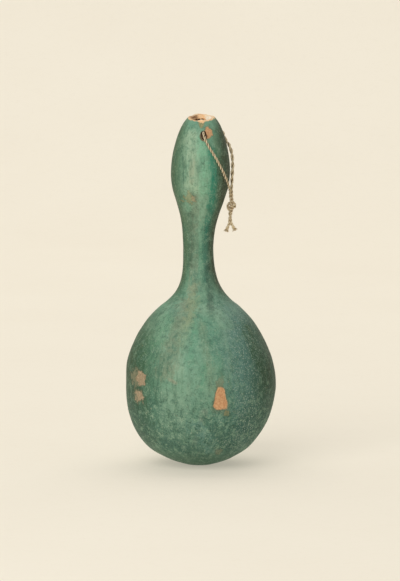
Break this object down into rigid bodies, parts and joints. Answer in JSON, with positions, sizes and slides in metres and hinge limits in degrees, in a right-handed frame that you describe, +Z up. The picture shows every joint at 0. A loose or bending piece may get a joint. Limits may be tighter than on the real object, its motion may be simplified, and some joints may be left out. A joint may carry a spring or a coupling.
{
  "type": "dried bottle gourd",
  "caption": "Dried hollow bottle gourd with a round belly, slim waist, open sawn mouth and a knotted twine loop through holes under the mouth.",
  "frame": {"origin": "middle of the shell's bounding box in plan, at the height of the flat spot the gourd rests on", "axes": "+Z up through the mouth; -Y towards the side with the front string hole; +X towards the side where the string hangs"},
  "size_m": [0.1284, 0.1284, 0.3003],
  "materials": {
    "painted_gourd_skin": "dry woody rind under a thin, worn blue-green paint, matt to low sheen, chipped to tan rind in places",
    "twine": "two-ply twisted plant-fibre twine, matt, lightly frayed at the ends"
  },
  "bodies": {
    "root": {"gourd_shell": "painted_gourd_skin", "string": "twine"}
  },
  "joints": []
}
